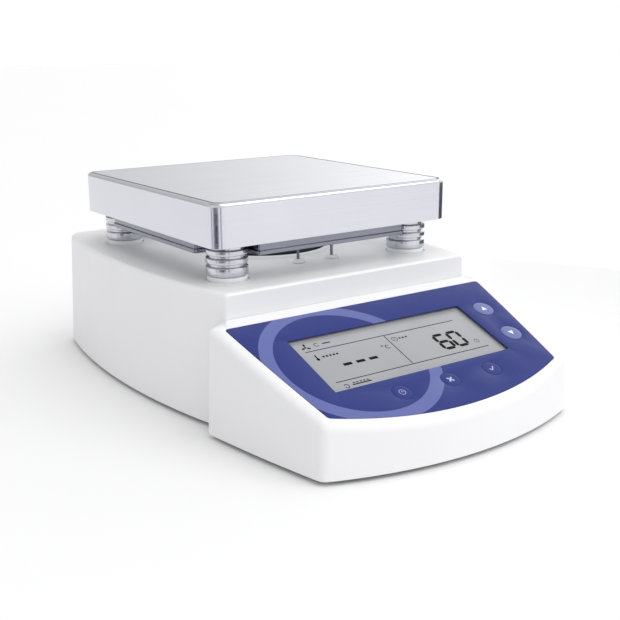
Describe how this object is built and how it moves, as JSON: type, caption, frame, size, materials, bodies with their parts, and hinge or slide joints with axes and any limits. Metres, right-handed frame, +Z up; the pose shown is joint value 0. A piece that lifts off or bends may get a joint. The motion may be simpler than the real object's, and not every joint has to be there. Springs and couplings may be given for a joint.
{
  "type": "hotplate magnetic stirrer",
  "caption": "Laboratory hotplate stirrer: a square steel plate on finned posts over a tapered white housing with a sloping console, keys, a display and a spinning magnet rotor.",
  "frame": {"origin": "on the surface the feet stand on, under the middle of the whole object", "axes": "+Z up, +Y towards the rear panel, +X to the right of someone facing the console"},
  "size_m": [0.2322, 0.3732, 0.1424],
  "materials": {
    "hotplate_steel": "bright brushed stainless sheet",
    "cast_aluminium": "machined cast aluminium",
    "mica": "mica sheet with a heating foil inside",
    "sheet_steel": "plain zinc-grey sheet steel",
    "mineral_wool": "pressed mineral wool",
    "zinc_plated": "zinc plated steel",
    "housing_white": "white moulded plastic with a fine satin grain",
    "black_plastic": "black moulded plastic",
    "overlay_blue": "dark blue printed polyester film with a lighter blue band",
    "display_glass": "grey reflective liquid crystal display",
    "diffuser": "white light diffuser",
    "board_green": "green solder mask with fitted parts",
    "motor_case": "black painted steel",
    "carrier_black": "black glass-filled nylon",
    "windings": "laminated core with a varnished winding",
    "key_light_blue": "light blue printed film",
    "post_aluminium": "turned aluminium",
    "seat_white": "white nylon",
    "ferrite": "grey ferrite magnet",
    "foot_rubber": "black moulded rubber"
  },
  "bodies": {
    "base": {"control_overlay": "overlay_blue", "display_glass": "display_glass", "display_backlight": "diffuser", "control_board": "board_green", "top_plate": "hotplate_steel", "heat_spreader": "cast_aluminium", "heating_element": "mica", "shield_tray": "sheet_steel", "insulation_pad": "mineral_wool", "temperature_sensor": "zinc_plated", "plate_post_1": "post_aluminium", "post_seat_1": "seat_white", "post_bolt_1": "zinc_plated", "plate_post_2": "post_aluminium", "post_seat_2": "seat_white", "post_bolt_2": "zinc_plated", "plate_post_3": "post_aluminium", "post_seat_3": "seat_white", "post_bolt_3": "zinc_plated", "plate_post_4": "post_aluminium", "post_seat_4": "seat_white", "post_bolt_4": "zinc_plated", "lead_bushing_1": "seat_white", "heater_lead_1": "zinc_plated", "lead_bushing_2": "seat_white", "heater_lead_2": "zinc_plated", "rear_housing": "housing_white", "mains_inlet": "black_plastic", "fuse_holder": "black_plastic", "switch_frame": "black_plastic", "console_housing": "housing_white", "motor_bracket": "sheet_steel", "motor": "motor_case", "base_plate": "sheet_steel", "base_screw_1": "zinc_plated", "base_screw_2": "zinc_plated", "base_screw_3": "zinc_plated", "base_screw_4": "zinc_plated", "console_base": "sheet_steel", "console_screw_1": "zinc_plated", "console_screw_2": "zinc_plated", "foot_1": "foot_rubber", "foot_2": "foot_rubber", "foot_3": "foot_rubber", "foot_4": "foot_rubber", "power_board": "board_green", "transformer": "windings"},
    "rotor": {"motor_shaft": "hotplate_steel", "magnet_carrier": "carrier_black", "magnet_1": "ferrite", "magnet_2": "ferrite", "keeper_bar": "zinc_plated"},
    "key_up": {"key_up": "key_light_blue"},
    "key_down": {"key_down": "key_light_blue"},
    "key_timer": {"key_timer": "overlay_blue"},
    "key_exit": {"key_exit": "overlay_blue"},
    "key_enter": {"key_enter": "overlay_blue"},
    "rocker": {"switch_rocker": "black_plastic"}
  },
  "joints": [
    {"name": "rotor_spin", "type": "hinge", "parent": "base", "child": "rotor", "pos_m": [0, 0.04665, 0.087], "axis": [0, 0, 1], "continuous": true},
    {"name": "key_up_press", "type": "slide", "parent": "base", "child": "key_up", "axis": [0, 0.35, -0.9367], "range_m": [0, 0.0005], "stiffness_N_per_m": 2000},
    {"name": "key_down_press", "type": "slide", "parent": "base", "child": "key_down", "axis": [0, 0.35, -0.9367], "range_m": [0, 0.0005], "stiffness_N_per_m": 2000},
    {"name": "key_timer_press", "type": "slide", "parent": "base", "child": "key_timer", "axis": [0, 0.35, -0.9367], "range_m": [0, 0.0005], "stiffness_N_per_m": 2000},
    {"name": "key_exit_press", "type": "slide", "parent": "base", "child": "key_exit", "axis": [0, 0.35, -0.9367], "range_m": [0, 0.0005], "stiffness_N_per_m": 2000},
    {"name": "key_enter_press", "type": "slide", "parent": "base", "child": "key_enter", "axis": [0, 0.35, -0.9367], "range_m": [0, 0.0005], "stiffness_N_per_m": 2000},
    {"name": "rocker_tilt", "type": "hinge", "parent": "base", "child": "rocker", "pos_m": [0.032, 0.18155, 0.037], "axis": [1, 0, 0], "range_deg": [-20, 0]}
  ]
}
